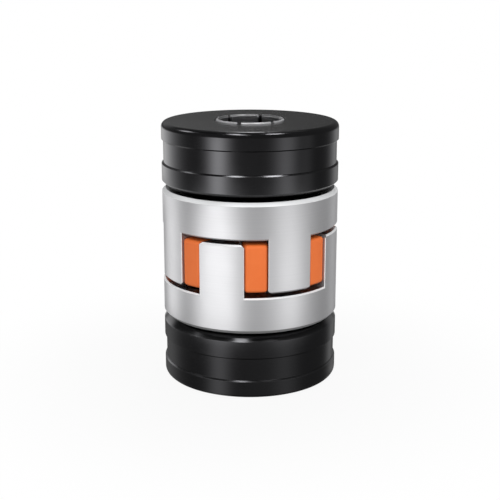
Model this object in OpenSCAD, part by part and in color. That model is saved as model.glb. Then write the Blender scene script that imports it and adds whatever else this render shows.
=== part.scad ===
// Backlash-free jaw coupling with clamping rings, for joining two shafts end to end.
// It stands on its lower collet: the origin is at the middle of that end, and +Z runs along the shafts.
// Two equal halves face each other across a spider of eight elastic arms.
// Sizes are millimetres and degrees.

/* [Overall] */
// Outside diameter of the hubs and the clamp rings
coupling_d = 55; // [50:0.5:65]
// Length over the two collet ends
coupling_l = 82; // [79:0.5:100]
// Diameter of the bore for each shaft
bore_d = 19; // [12:0.5:22]

/* [Hubs] */
// Distance between the faces of the two hub flanges
hub_gap = 17.5; // [15:0.25:20]
// Thickness of a hub flange
flange_t = 11.25; // [10.5:0.25:13.5]
// Chamfer around the end of the flange that faces the clamp ring
flange_chamfer = 1.1; // [0.6:0.1:1.8]
// Chamfer around the face of the flange that carries the jaws
face_chamfer = 0.45; // [0.2:0.05:0.8]

/* [Jaws] */
// Jaws on one hub
jaws = 4; // [3:1:4]
// Clear distance from a jaw's tip to the flange across from it
tip_gap = 1.25; // [0.8:0.05:2]
// Radial depth of a jaw
jaw_depth = 10.5; // [9:0.1:12]
// Radius of the hollow flanks of a jaw
hollow_r = 42; // [36:1:60]
// Chamfer on the outside edges of a jaw
jaw_chamfer = 0.5; // [0.3:0.05:0.9]
// Chamfer on the flank edges at the tip of a jaw
tip_chamfer = 0.9; // [0.4:0.05:1.4]

/* [Spider] */
// Greatest width of an arm
arm_w = 7.7; // [6.4:0.1:8.6]
// Radius of the crowned flanks of an arm
arm_crown_r = 17; // [15:0.5:30]
// Clear distance from the spider to each hub flange
spider_gap = 1.5; // [1:0.05:2.2]
// Depth of the arm ends below the outside of the hubs
arm_recess = 0.5; // [0.1:0.05:0.9]
// Thickness of the ring that joins the arms
web_t = 3; // [2:0.1:4]
// Chamfer on the edges of the spider
spider_chamfer = 0.8; // [0.4:0.05:1.2]

/* [Collets] */
// Wall of the collet at its thin end
collet_wall = 1; // [0.8:0.05:1.6]
// Half angle of the clamping taper
taper_angle = 4; // [3:0.1:5]
// Distance the collet stands out of the clamp ring
collet_out = 0.5; // [0.3:0.05:1]
// Slits in one collet
slits = 6; // [4:1:8]
// Width of a slit
slit_w = 1.4; // [0.6:0.05:2]
// Uncut length of the collet between a slit and the flange
slit_root = 1.5; // [1:0.1:4]
// Chamfer at the mouth of the bore
bore_chamfer = 0.35; // [0.2:0.05:0.5]

/* [Clamp rings] */
// Clear distance from a clamp ring to its hub flange
ring_gap = 0.45; // [0.2:0.05:0.8]
// Chamfer around the end of the ring that faces the hub flange
ring_chamfer = 2; // [1:0.1:2.6]
// Rounding around the outer end of the ring
ring_round = 1.7; // [1:0.1:2.4]
// Depth of the turned groove around the ring
groove_depth = 0.55; // [0.3:0.05:1]
// Length of the rim between the groove and the outer end
rim_l = 5.7; // [4.5:0.1:7]
// Length of the groove
groove_l = 6.8; // [5.5:0.1:8]
// Broken edges of the groove and of the inner end of the taper
edge_break = 0.4; // [0.2:0.05:0.5]
// Chamfer at the outer end of the taper
mouth_chamfer = 0.5; // [0.3:0.05:0.8]

/* [Screws] */
// Nominal diameter of the clamp screws
screw_d = 5; // [4:0.5:6]
// Length of a clamp screw under its head
screw_l = 16; // [14:1:18]
// Depth of the thread past the tip of a clamp screw
thread_spare = 1.3; // [0.8:0.1:2.5]
// Turn of a clamp screw away from the middle of the space between two jaws
screw_turn = 13; // [11:0.5:14]
// Turn of a jacking thread away from the middle of the space between two jaws
jack_turn = 15; // [13:0.5:17]

/* [Fits] */
// Radial clearance of the ring on the taper
taper_fit = 0.02; // [0.01:0.01:0.05]
// Clearance of an arm beside each jaw
arm_fit = 0.03; // [0.01:0.01:0.1]
// Radial clearance of the ring of the spider inside the jaws
web_fit = 0.3; // [0.1:0.05:0.6]
// Radial clearance of a screw in its thread
thread_fit = 0.03; // [0.01:0.01:0.1]
// Radial clearance of a screw in the flange
shank_fit = 0.25; // [0.1:0.05:0.4]
// Radial clearance of a screw head in its counterbore
head_fit = 0.4; // [0.2:0.05:0.6]
// Depth of a screw head below the face of the flange
head_sunk = 0.3; // [0.1:0.05:0.6]

/* [Hidden] */
$fn = 96;
over = 1;
outer_r = coupling_d / 2;
bore_r = bore_d / 2;
mid_z = coupling_l / 2;

// Heights in one half, measured from the middle of the coupling towards its end.
face_z = hub_gap / 2;
flange_z = face_z + flange_t;
ring_z = flange_z + ring_gap;
end_z = coupling_l / 2;
ring_end_z = end_z - collet_out;
tip_z = -face_z + tip_gap;

// The taper widens from the end of the collet to the flange.
collet_r = bore_r + collet_wall;
taper_slope = tan(taper_angle);
root_r = collet_r + (end_z - flange_z) * taper_slope;
lip = collet_wall / 3;
slit_end_z = flange_z + slit_root;

// The groove of the clamp ring lies between its rim and its inner band.
rim_z = ring_end_z - rim_l;
band_z = rim_z - groove_l;
groove_r = outer_r - groove_depth;

// One arm lies in every gap between two jaws.
arms = 2 * jaws;
arm_pitch = 360 / arms;
jaw_pitch = 360 / jaws;
jaw_root_r = outer_r - jaw_depth;
crown_at_r = (jaw_root_r + outer_r) / 2;
hollow_back = hollow_r - arm_w / 2 - arm_fit;
slot_mouth = flank(hollow_r, hollow_back, outer_r);
spider_t = hub_gap - 2 * spider_gap;
arm_end_r = outer_r - arm_recess;
crown_back = arm_crown_r - arm_w / 2;
arm_mouth = flank(arm_crown_r, crown_back, arm_end_r);
web_r = jaw_root_r - web_fit;
spider_bore_r = web_r - web_t;

// Socket head cap screws: head and socket follow the nominal diameter.
screw_r = screw_d / 2;
head_r = 0.85 * screw_d;
head_h = screw_d;
socket_af = 0.8 * screw_d;
socket_depth = 0.5 * screw_d;
screw_at_r = (root_r + outer_r) / 2;
sink_depth = head_h + head_sunk;
seat_z = face_z + sink_depth;
screw_tip_z = seat_z + screw_l;
thread_end_z = screw_tip_z + thread_spare;
pocket_angle = 1.5 * arm_pitch;

// Half width of a crowned bar at a distance from the axis; its discs stand back from the middle.
function flank(disc_r, back, at_r) = sqrt(pow(disc_r, 2) - pow(at_r - crown_at_r, 2)) - back;

// Puts a half in its place: the lower one is the upper one turned over.
module upper_half() {
    translate([0, 0, mid_z])
        children();
}

module lower_half() {
    translate([0, 0, mid_z])
        rotate([180, 0, 0])
            children();
}

// A bar along +X whose two flanks are crowned: the common part of two wide discs.
module crowned_bar(disc_r, back, bottom, top) {
    intersection() {
        translate([crown_at_r, back, bottom])
            cylinder(r = disc_r, h = top - bottom);
        translate([crown_at_r, -back, bottom])
            cylinder(r = disc_r, h = top - bottom);
    }
}

// The same bar with flanks that lean in or out between its two ends.
module leaning_bar(bottom_r, top_r, back, bottom, top) {
    intersection() {
        translate([crown_at_r, back, bottom])
            cylinder(r1 = bottom_r, r2 = top_r, h = top - bottom);
        translate([crown_at_r, -back, bottom])
            cylinder(r1 = bottom_r, r2 = top_r, h = top - bottom);
    }
}

// The room for one arm between two jaws, with the chamfers of the jaws' edges.
module arm_slot() {
    flare = jaw_chamfer + over;
    crowned_bar(hollow_r, hollow_back, tip_z - over, face_z + 2 * over);
    leaning_bar(hollow_r + tip_chamfer + over, hollow_r, hollow_back, tip_z - over, tip_z + tip_chamfer);
    translate([0, 0, tip_z - over])
        linear_extrude(height = face_z - tip_z + 3 * over)
            polygon([
                [outer_r - jaw_chamfer, slot_mouth],
                [outer_r - jaw_chamfer, -slot_mouth],
                [outer_r - jaw_chamfer + flare, -slot_mouth - flare],
                [outer_r - jaw_chamfer + flare, slot_mouth + flare]
            ]);
}

// A wedge from the axis outwards that covers one jaw and half of the slots beside it.
module jaw_sector() {
    reach = 2 * outer_r;
    half = arm_pitch / 2;
    translate([0, 0, tip_z - over])
        linear_extrude(height = face_z - tip_z + 3 * over)
            polygon([
                [0, 0],
                [reach * cos(half), -reach * sin(half)],
                [reach * cos(half), reach * sin(half)]
            ]);
}

// One jaw: part of a ring with a chamfered tip, between two arm slots.
module jaw() {
    difference() {
        intersection() {
            rotate_extrude()
                polygon([
                    [jaw_root_r, tip_z],
                    [outer_r - jaw_chamfer, tip_z],
                    [outer_r, tip_z + jaw_chamfer],
                    [outer_r, face_z + over],
                    [jaw_root_r, face_z + over]
                ]);
            jaw_sector();
        }
        for (side = [-0.5, 0.5])
            rotate([0, 0, side * arm_pitch])
                arm_slot();
    }
}

// The turned blank of a hub: flange, tapered collet and bore.
module hub_blank() {
    rotate_extrude()
        polygon([
            [bore_r, face_z + bore_chamfer],
            [bore_r + bore_chamfer, face_z],
            [outer_r - face_chamfer, face_z],
            [outer_r, face_z + face_chamfer],
            [outer_r, flange_z - flange_chamfer],
            [outer_r - flange_chamfer, flange_z],
            [root_r, flange_z],
            [collet_r + lip * taper_slope, end_z - lip],
            [collet_r - lip, end_z],
            [bore_r + bore_chamfer, end_z],
            [bore_r, end_z - bore_chamfer]
        ]);
}

// Places its child at each clamp screw of one half.
module at_screws() {
    for (i = [0 : jaws - 1])
        rotate([0, 0, pocket_angle + i * jaw_pitch - screw_turn])
            translate([screw_at_r, 0, 0])
                children();
}

module at_jacks() {
    for (i = [0 : jaws - 1])
        rotate([0, 0, pocket_angle + i * jaw_pitch + jack_turn])
            translate([screw_at_r, 0, 0])
                children();
}

// Aluminium hub: jaws on the inner face of a flange, a slit collet on the outer one.
module hub() {
    color([0.78, 0.79, 0.8])
        difference() {
            union() {
                hub_blank();
                for (i = [0 : jaws - 1])
                    rotate([0, 0, arm_pitch / 2 + i * jaw_pitch])
                        jaw();
            }
            at_screws() {
                translate([0, 0, face_z - over])
                    cylinder(r = head_r + head_fit, h = sink_depth + over);
            }
            at_screws() {
                translate([0, 0, face_z])
                    cylinder(r = screw_r + shank_fit, h = flange_t + over);
            }
            at_jacks() {
                translate([0, 0, face_z - over])
                    cylinder(r = screw_r, h = flange_t + 2 * over);
            }
            for (i = [0 : slits - 1])
                rotate([0, 0, pocket_angle + i * 360 / slits])
                    translate([bore_r / 2, -slit_w / 2, slit_end_z])
                        cube([root_r, slit_w, end_z - slit_end_z + over]);
        }
}

// Black clamp ring: a tapered hole on the collet and blind threads for the clamp screws.
module clamp_ring() {
    inner_r = root_r - ring_gap * taper_slope + taper_fit;
    mouth_r = collet_r + collet_out * taper_slope + taper_fit;
    color([0.07, 0.07, 0.075])
        difference() {
            rotate_extrude()
                difference() {
                    polygon([
                        [inner_r - edge_break * taper_slope, ring_z + edge_break],
                        [inner_r + edge_break, ring_z],
                        [outer_r - ring_chamfer, ring_z],
                        [outer_r, ring_z + ring_chamfer],
                        [outer_r, band_z - edge_break],
                        [outer_r - edge_break, band_z],
                        [groove_r, band_z],
                        [groove_r, rim_z],
                        [outer_r - edge_break, rim_z],
                        [outer_r, rim_z + edge_break],
                        [outer_r, ring_end_z],
                        [mouth_r + mouth_chamfer, ring_end_z],
                        [mouth_r + mouth_chamfer * taper_slope, ring_end_z - mouth_chamfer]
                    ]);
                    difference() {
                        translate([outer_r - ring_round, ring_end_z - ring_round])
                            square(ring_round + over);
                        translate([outer_r - ring_round, ring_end_z - ring_round])
                            circle(r = ring_round);
                    }
                }
            at_screws() {
                translate([0, 0, ring_z - over])
                    cylinder(r = screw_r + thread_fit, h = thread_end_z - ring_z + over);
            }
        }
}

// Socket head cap screws of one half, entered from the spider's side.
module clamp_screws() {
    tip_cut = 0.1 * screw_d;
    head_cut = 0.06 * screw_d;
    color([0.2, 0.2, 0.21])
        at_screws() {
            difference() {
                rotate_extrude()
                    polygon([
                        [0, seat_z - head_h],
                        [head_r - head_cut, seat_z - head_h],
                        [head_r, seat_z - head_h + head_cut],
                        [head_r, seat_z],
                        [screw_r, seat_z],
                        [screw_r, screw_tip_z - tip_cut],
                        [screw_r - tip_cut, screw_tip_z],
                        [0, screw_tip_z]
                    ]);
                translate([0, 0, seat_z - head_h - over])
                    cylinder(r = socket_af / sqrt(3), h = socket_depth + over, $fn = 6);
            }
        }
}

// Elastic spider: eight crowned arms on a ring, with chamfered edges.
module spider() {
    low = -spider_t / 2;
    high = spider_t / 2;
    cut = spider_chamfer;
    cut_r = arm_crown_r - cut;
    nose = arm_end_r + arm_mouth - cut;
    back = 2 * arm_w;
    color([0.93, 0.42, 0.16])
        translate([0, 0, mid_z])
            difference() {
                union() {
                    for (i = [0 : arms - 1])
                        rotate([0, 0, i * arm_pitch])
                            intersection() {
                                union() {
                                    leaning_bar(cut_r, arm_crown_r, crown_back, low, low + cut);
                                    crowned_bar(arm_crown_r, crown_back, low + cut, high - cut);
                                    leaning_bar(arm_crown_r, cut_r, crown_back, high - cut, high);
                                }
                                rotate_extrude()
                                    polygon([
                                        [web_r - web_t / 2, low],
                                        [arm_end_r - cut, low],
                                        [arm_end_r, low + cut],
                                        [arm_end_r, high - cut],
                                        [arm_end_r - cut, high],
                                        [web_r - web_t / 2, high]
                                    ]);
                                translate([0, 0, low - over])
                                    linear_extrude(height = spider_t + 2 * over)
                                        polygon([
                                            [0, -back],
                                            [nose - back, -back],
                                            [nose, 0],
                                            [nose - back, back],
                                            [0, back]
                                        ]);
                            }
                    rotate_extrude()
                        polygon([
                            [spider_bore_r + cut, low],
                            [web_r, low],
                            [web_r, high],
                            [spider_bore_r + cut, high],
                            [spider_bore_r, high - cut],
                            [spider_bore_r, low + cut]
                        ]);
                }
                translate([0, 0, low - over])
                    cylinder(r = spider_bore_r, h = spider_t + 2 * over);
            }
}

module hub_upper() {
    upper_half()
        hub();
}

module hub_lower() {
    lower_half()
        hub();
}

module clamp_ring_upper() {
    upper_half()
        clamp_ring();
}

module clamp_ring_lower() {
    lower_half()
        clamp_ring();
}

module clamp_screws_upper() {
    upper_half()
        clamp_screws();
}

module clamp_screws_lower() {
    lower_half()
        clamp_screws();
}

hub_upper();
hub_lower();
clamp_ring_upper();
clamp_ring_lower();
spider();
clamp_screws_upper();
clamp_screws_lower();
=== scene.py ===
"""Backlash-free jaw coupling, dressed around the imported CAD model.

The hubs and the clamp rings are the CAD solids with turned and anodised finishes. The elastic spider
and the clamp screws are surfaces worked out with numpy, and stand for the CAD nodes of the same name.
"""

import logging
import math
from dataclasses import dataclass
from enum import Enum
from typing import Any, ClassVar

import bpy
import numpy as np
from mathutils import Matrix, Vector


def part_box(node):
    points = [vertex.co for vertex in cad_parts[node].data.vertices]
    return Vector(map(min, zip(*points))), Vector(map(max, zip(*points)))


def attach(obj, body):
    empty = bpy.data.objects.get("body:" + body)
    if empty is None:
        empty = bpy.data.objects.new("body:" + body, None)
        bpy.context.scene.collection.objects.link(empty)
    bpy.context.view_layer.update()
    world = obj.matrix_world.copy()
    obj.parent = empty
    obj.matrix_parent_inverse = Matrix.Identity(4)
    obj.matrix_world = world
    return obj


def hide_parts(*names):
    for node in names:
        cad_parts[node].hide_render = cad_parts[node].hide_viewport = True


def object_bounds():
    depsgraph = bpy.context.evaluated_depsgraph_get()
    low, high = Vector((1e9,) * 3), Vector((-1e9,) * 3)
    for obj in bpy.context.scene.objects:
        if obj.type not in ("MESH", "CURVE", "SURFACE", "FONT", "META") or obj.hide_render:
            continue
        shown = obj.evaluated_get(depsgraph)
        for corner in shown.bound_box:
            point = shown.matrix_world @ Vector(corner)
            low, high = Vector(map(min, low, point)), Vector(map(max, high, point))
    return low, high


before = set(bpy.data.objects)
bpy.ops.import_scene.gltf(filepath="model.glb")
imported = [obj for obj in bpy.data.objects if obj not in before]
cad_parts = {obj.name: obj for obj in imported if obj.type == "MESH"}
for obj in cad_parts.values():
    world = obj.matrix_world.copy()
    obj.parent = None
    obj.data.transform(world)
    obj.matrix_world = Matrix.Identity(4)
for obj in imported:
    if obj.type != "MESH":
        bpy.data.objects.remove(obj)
CAD_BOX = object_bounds()

LOG = logging.getLogger("coupling")
MM = 0.001
BODY = "root"
PHOTO_SIDE = 500
SENSOR_MM = 36.0
FULL_TURN = 2.0 * math.pi
WHITE = "#FFFFFF"
WEAR = "wear"
GLOW = "glow"
BUMP_STRENGTH = 0.5
# Inputs of a range node that takes in nearly all of a noise.
NOISE_SPAN = {"From Min": 0.3, "From Max": 0.7}
# Settings of a mix node that multiplies one colour by another.
TIMES = {"data_type": "RGBA", "blend_type": "MULTIPLY"}

# What feeds a node's input: a socket, or a node, which stands for its first output in use.
Feed = bpy.types.Node | bpy.types.NodeSocket


class Half(Enum):
    """The two equal halves of the coupling; the value is the sign of their direction along Z."""

    UPPER = 1
    LOWER = -1

    @property
    def word(self) -> str:
        """The half's name as the CAD nodes spell it."""
        return self.name.lower()


class Slot(Enum):
    """Names of material slots for the new pieces; nothing in the script uses them."""

    SPIDER = "spider_elastomer"
    SCREW = "screw_steel"


class Kind(Enum):
    """Kinds of nodes in use, with Blender's names for them."""

    PLACE = "ShaderNodeTexCoord"
    GEOMETRY = "ShaderNodeNewGeometry"
    ATTRIBUTE = "ShaderNodeAttribute"
    RAY = "ShaderNodeLightPath"
    NOISE = "ShaderNodeTexNoise"
    SPLIT = "ShaderNodeSeparateXYZ"
    MATH = "ShaderNodeMath"
    VECTOR = "ShaderNodeVectorMath"
    RANGE = "ShaderNodeMapRange"
    MIX = "ShaderNodeMix"
    BEVEL = "ShaderNodeBevel"
    BUMP = "ShaderNodeBump"
    PRINCIPLED = "ShaderNodeBsdfPrincipled"
    DIFFUSE = "ShaderNodeBsdfDiffuse"
    CLEAR = "ShaderNodeBsdfTransparent"
    EMISSION = "ShaderNodeEmission"
    MIX_SHADER = "ShaderNodeMixShader"
    BACKGROUND = "ShaderNodeBackground"
    SURFACE_OUT = "ShaderNodeOutputMaterial"
    WORLD_OUT = "ShaderNodeOutputWorld"


def to_linear(hex_colour: str) -> tuple[float, float, float, float]:
    """Turns an sRGB hex colour into linear RGBA.

    Args:
        hex_colour: Six hex digits, with or without a leading hash.

    Returns:
        Linear red, green and blue, and an alpha of one.
    """
    digits = hex_colour.lstrip("#")
    srgb = np.array([int(digits[i:i + 2], 16) for i in (0, 2, 4)]) / 255.0
    linear = np.where(srgb <= 0.04045, srgb / 12.92, ((srgb + 0.055) / 1.055) ** 2.4)
    return (float(linear[0]), float(linear[1]), float(linear[2]), 1.0)


def add_node(
    tree: bpy.types.NodeTree, kind: Kind, inputs: dict[str | int, Any], **settings: Any
) -> bpy.types.Node:
    """Adds one node, with its settings, its constant inputs and its links.

    Args:
        tree: The node tree that gets the node.
        kind: The kind of node.
        inputs: Number of an input, or name of one that the settings leave in use, to a constant or to
            what feeds it.
        settings: Properties of the node itself.

    Returns:
        The new node.
    """
    node = tree.nodes.new(kind.value)
    for name, value in settings.items():
        setattr(node, name, value)
    in_use = {socket.name: socket for socket in node.inputs if socket.enabled}
    for key, value in inputs.items():
        socket = node.inputs[key] if isinstance(key, int) else in_use[key]
        if isinstance(value, bpy.types.Node):
            value = next(output for output in value.outputs if output.enabled)
        if isinstance(value, bpy.types.NodeSocket):
            tree.links.new(value, socket)
        else:
            socket.default_value = value
    return node


def empty_material(name: str) -> bpy.types.Material:
    """Makes a material that has no nodes yet.

    Args:
        name: Name of the real material and of how its surface was made.

    Returns:
        The material.
    """
    material = bpy.data.materials.new(name)
    material.use_nodes = True
    material.node_tree.nodes.clear()
    return material


def seen_directly(tree: bpy.types.NodeTree) -> Feed:
    """One for rays that show the background: from the camera, a mirror or glass.

    Args:
        tree: The node tree that gets the test.

    Returns:
        What gives the test's result.
    """
    ray = add_node(tree, Kind.RAY, {}).outputs
    first = {0: ray["Is Camera Ray"], 1: ray["Is Glossy Ray"]}
    mirror = add_node(tree, Kind.MATH, first, operation="MAXIMUM")
    both = {0: mirror, 1: ray["Is Transmission Ray"]}
    return add_node(tree, Kind.MATH, both, operation="MAXIMUM")


def link_object(name: str, data: bpy.types.ID) -> bpy.types.Object:
    """Makes an object of a mesh, a lamp or a camera, and links it to the scene.

    Args:
        name: Name of the object.
        data: What it shows.

    Returns:
        The object, at the origin.
    """
    made = bpy.data.objects.new(name, data)
    bpy.context.scene.collection.objects.link(made)
    return made


def grid_faces(rows: int, cols: int, wrap_rows: bool, wrap_cols: bool) -> np.ndarray:
    """Quads of a grid of points, numbered row by row.

    Each quad joins a point to its neighbour in the next column, the one after that in the next row, and
    back. A wrapped direction joins its last points to its first.

    Args:
        rows: Number of rows.
        cols: Number of columns.
        wrap_rows: Whether the last row joins the first.
        wrap_cols: Whether the last column joins the first.

    Returns:
        An array of four point numbers a quad.
    """
    row, col = np.meshgrid(
        np.arange(rows if wrap_rows else rows - 1),
        np.arange(cols if wrap_cols else cols - 1),
        indexing="ij",
    )
    here, below = row * cols, (row + 1) % rows * cols
    after = (col + 1) % cols
    corners = (here + col, here + after, below + after, below + col)
    return np.stack(corners, axis=-1).reshape(-1, 4)


def facing_outwards(points: np.ndarray, faces: np.ndarray) -> np.ndarray:
    """Turns the faces of a closed surface outwards.

    The sum over the faces of the box product of three corners is six times the enclosed volume, and it
    is negative where the faces point inwards.

    Args:
        points: Points of the surface, three columns.
        faces: Quads of the surface.

    Returns:
        The faces, in reverse order of corners if they pointed inwards.
    """
    a, b, c, d = (points[faces[:, i]] for i in range(4))
    volume = np.einsum("ij,ij->", a, np.cross(b, c)) + np.einsum("ij,ij->", a, np.cross(c, d))
    return faces if volume > 0 else faces[:, ::-1]


def mesh_object(
    name: str, points: np.ndarray, faces: np.ndarray, sharp_deg: float = 180.0
) -> bpy.types.Object:
    """Puts points and faces, in millimetres, into a smooth-shaded object at the origin.

    Args:
        name: Name of the object and its mesh.
        points: Points in millimetres, three columns.
        faces: Corner numbers, four to a face; where the first two or the last two are the same pole,
            the face is a triangle.
        sharp_deg: Edges that bend more than this many degrees stay sharp.

    Returns:
        The object, linked to the scene.
    """
    mesh = bpy.data.meshes.new(name)
    pole_first = faces[:, 0] == faces[:, 1]
    faces = np.where(pole_first[:, None], np.roll(faces, -2, axis=1), faces)
    pole = faces[:, 2] == faces[:, 3]
    corners = faces[~pole].tolist() + faces[pole, :3].tolist()
    mesh.from_pydata((points * MM).tolist(), [], corners)
    mesh.validate()
    mesh.shade_smooth()
    mesh.set_sharp_from_angle(angle=math.radians(sharp_deg))
    mesh.update()
    return link_object(name, mesh)


def set_point_values(made: bpy.types.Object, name: str, values: np.ndarray) -> None:
    """Gives each point of a mesh a number of its own, under a name that a material reads."""
    layer = made.data.attributes.new(name, "FLOAT", "POINT")
    layer.data.foreach_set("value", values.ravel().astype(np.float32))


class Edge(Enum):
    """Which edges of a turned part show a surface of their own. Cut and rim edges are lighter partly as
    a painted highlight; worn crests are real wear.
    """

    CUT = "every chamfer, cut after the finish"
    RIM = "the outermost broken edges, rubbed a little lighter"
    WORN = "crests that the piece's own attribute names"


@dataclass(frozen=True)
class TurnedPlace:
    """Where a point of a turned part lies, as nodes in the tree of one material.

    Attributes:
        tree: The material's nodes.
        place: Object coordinates.
        height: Place along the axis.
        flat: Place without its height.
        radius: Distance from the axis.
        far: Distance along the axis from the middle of the coupling.
        normal: Normal of the face itself.
        rise: How far that normal points up the axis, from minus one to one.
    """

    tree: bpy.types.NodeTree
    place: Feed
    height: Feed
    flat: Feed
    radius: Feed
    far: Feed
    normal: Feed
    rise: Feed

    @classmethod
    def read(cls, tree: bpy.types.NodeTree) -> "TurnedPlace":
        """Adds the nodes that work the place out.

        Args:
            tree: The material's nodes.

        Returns:
            The place.
        """
        place = add_node(tree, Kind.PLACE, {}).outputs["Object"]
        height = add_node(tree, Kind.SPLIT, {0: place}).outputs["Z"]
        flat = add_node(tree, Kind.VECTOR, {0: place, 1: (1.0, 1.0, 0.0)}, operation="MULTIPLY")
        radius = add_node(tree, Kind.VECTOR, {0: flat}, operation="LENGTH")
        middle = (CAD_BOX[0].z + CAD_BOX[1].z) / 2
        offset = add_node(tree, Kind.MATH, {0: height, 1: middle}, operation="SUBTRACT")
        far = add_node(tree, Kind.MATH, {0: offset}, operation="ABSOLUTE")
        normal = add_node(tree, Kind.GEOMETRY, {}).outputs["True Normal"]
        rise = add_node(tree, Kind.SPLIT, {0: normal}).outputs["Z"]
        return cls(tree, place, height, flat, radius, far, normal, rise)


@dataclass(frozen=True)
class TurnedFinish:
    """A finish of a part turned on a lathe: fine rings around Z, edges brighter than the faces, partly
    as a painted highlight, and painted shade on faces turned down and in narrow gaps.

    Attributes:
        name: Real material and process.
        colour: Colour of the faces.
        metallic: Metallic value of the faces; a satin oxide layer scatters part of the light.
        roughness: Mean roughness of the faces.
        edges: Which edges are cut, rubbed or worn.
        edge_and_highlight_colour: Colour of those edges: their own cut, rubbed or worn surface, and on
            cut and rubbed edges partly a painted highlight.
        edge_roughness: Roughness of those edges.
        under: Share of their colour's brightness that faces turned down keep: painted shade below the
            part.
        edge_metallic: Metallic value of those edges, where there is a bare core.
        rim_r_mm: Radius outside which an edge counts as rim.
        bare_r_mm: Radius inside which the metal is bare, as it is on milled faces square to the axis;
            nought where there is no such core.
        end_mm: Distance from the middle of the coupling beyond which the part is a cut-off end, with
            weaker chamfers and matter walls.
        painted_gap_shade_mm: Distances from the middle of the coupling between which the colour lightens
            from nearly dead black to its full value, away from a narrow gap: painted shade in the gap;
            both nought where there is none.
        feed_mm: Spacing of the tool marks, drawn coarse enough to show.
        mark_depth_mm: Height of the tool marks.
        mark_shade: Share of the brightness that the bottom of a tool mark keeps.
        blotch_mm: Size of the cloudy patches that handling and the bath leave.
        blotch_spread: How far the roughness goes up and down between patches.
        edge_round_mm: Radius that softens every edge in the shading.
    """

    name: str
    colour: str
    metallic: float
    roughness: float
    edges: Edge
    edge_and_highlight_colour: str
    edge_roughness: float
    under: float
    edge_metallic: float = 1.0
    rim_r_mm: float = 0.0
    bare_r_mm: float = 0.0
    end_mm: float = 0.0
    painted_gap_shade_mm: tuple[float, float] = (0.0, 0.0)
    feed_mm: float = 0.5
    mark_depth_mm: float = 0.0015
    mark_shade: float = 0.975
    blotch_mm: float = 9.0
    blotch_spread: float = 0.03
    edge_round_mm: float = 0.1

    # A chamfer's normal leans 45 degrees from the radial direction; its cosine may be off by the room.
    CHAMFER_COSINE: ClassVar[float] = math.cos(math.radians(45.0))
    CHAMFER_ROOM: ClassVar[float] = 0.17
    # Rises of the normal: faces turned down lie below the first two and get the painted shade below the
    # part; walls and milled faces lie about nought and one.
    DOWN_RISES: ClassVar[tuple[float, float]] = (-0.6, -0.3)
    WALL_RISE: ClassVar[float] = 0.3
    MILLED_RISE: ClassVar[float] = 0.9
    # The cut-off end: a step that is sharp to the eye, and what is left of its cuts past it, the
    # chamfers' lighter colour with its painted highlight among them.
    END_STEP_MM: ClassVar[float] = 0.01
    END_CHAMFER: ClassVar[float] = 0.4
    END_WALL: ClassVar[float] = 0.5
    # Brightness that the painted shade of a narrow gap leaves in its depth.
    GAP_SHADE: ClassVar[float] = 0.1
    # Fineness of the noises that draw the tool marks and the patches.
    MARK_NOISE: ClassVar[dict[str, float]] = {"Detail": 3.0, "Roughness": 0.6}
    BLOTCH_NOISE: ClassVar[dict[str, float]] = {"Detail": 4.0, "Roughness": 0.55}
    BEVEL_SAMPLES: ClassVar[int] = 6

    def past_end(self, at: TurnedPlace) -> dict[str, Any]:
        """Inputs of a range node that goes to its last value at the cut-off end."""
        start, stop = self.end_mm * MM, (self.end_mm + self.END_STEP_MM) * MM
        return {"Value": at.far, "From Min": start, "From Max": stop}

    def edge_and_highlight_mask(self, at: TurnedPlace) -> Feed:
        """One on the cut, rubbed or worn edges, nought elsewhere; on cut and rubbed edges it places a
        painted highlight as well as their own surface.

        A chamfer is found by the lean of its normal. It counts outside a radius where rims are rubbed,
        and all over where chamfers are cut, with less weight on a cut-off end.

        Args:
            at: The place on the part.

        Returns:
            What gives the mask.
        """
        tree = at.tree
        if self.edges is Edge.WORN:
            return add_node(tree, Kind.ATTRIBUTE, {}, attribute_name=WEAR).outputs["Fac"]
        outward = add_node(tree, Kind.VECTOR, {0: at.flat}, operation="NORMALIZE")
        lean = add_node(tree, Kind.VECTOR, {0: at.normal, 1: outward}, operation="DOT_PRODUCT")
        slant = {0: lean, 1: self.CHAMFER_COSINE, 2: self.CHAMFER_ROOM}
        chamfer = add_node(tree, Kind.MATH, slant, operation="COMPARE")
        if self.edges is Edge.RIM:
            rim_r = self.rim_r_mm * MM
            weight = add_node(tree, Kind.MATH, {0: at.radius, 1: rim_r}, operation="GREATER_THAN")
        else:
            values = {"To Min": 1.0, "To Max": self.END_CHAMFER}
            weight = add_node(tree, Kind.RANGE, {**self.past_end(at), **values})
        return add_node(tree, Kind.MATH, {0: chamfer, 1: weight}, operation="MULTIPLY")

    def tint(self, at: TurnedPlace, edge: Feed, marks: Feed) -> Feed:
        """Colour of faces and edges, less what tool marks take away, with painted shade on faces turned
        down and in a narrow gap; the edges' colour is partly a painted highlight.

        Args:
            at: The place on the part.
            edge: The mask of the edges, and with it of the painted highlight on cut and rubbed edges.
            marks: The noise of the tool marks.

        Returns:
            What gives the colour.
        """
        tree = at.tree
        values = {"Value": marks, **NOISE_SPAN, "To Min": self.mark_shade}
        shade = add_node(tree, Kind.RANGE, values)
        colours = {"Factor": 1.0, "A": to_linear(self.colour), "B": shade}
        face = add_node(tree, Kind.MIX, colours, **TIMES)
        # The edges' lighter colour: their own cut, rubbed or worn surface, and on cut and rubbed edges
        # partly a painted highlight.
        colours = {"Factor": edge, "A": face, "B": to_linear(self.edge_and_highlight_colour)}
        both = add_node(tree, Kind.MIX, colours, data_type="RGBA")
        # Painted shade: faces turned down lose part of their colour's brightness.
        low, high = self.DOWN_RISES
        values = {"From Min": low, "From Max": high, "To Min": self.under}
        lit = add_node(tree, Kind.RANGE, {"Value": at.rise, **values})
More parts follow.
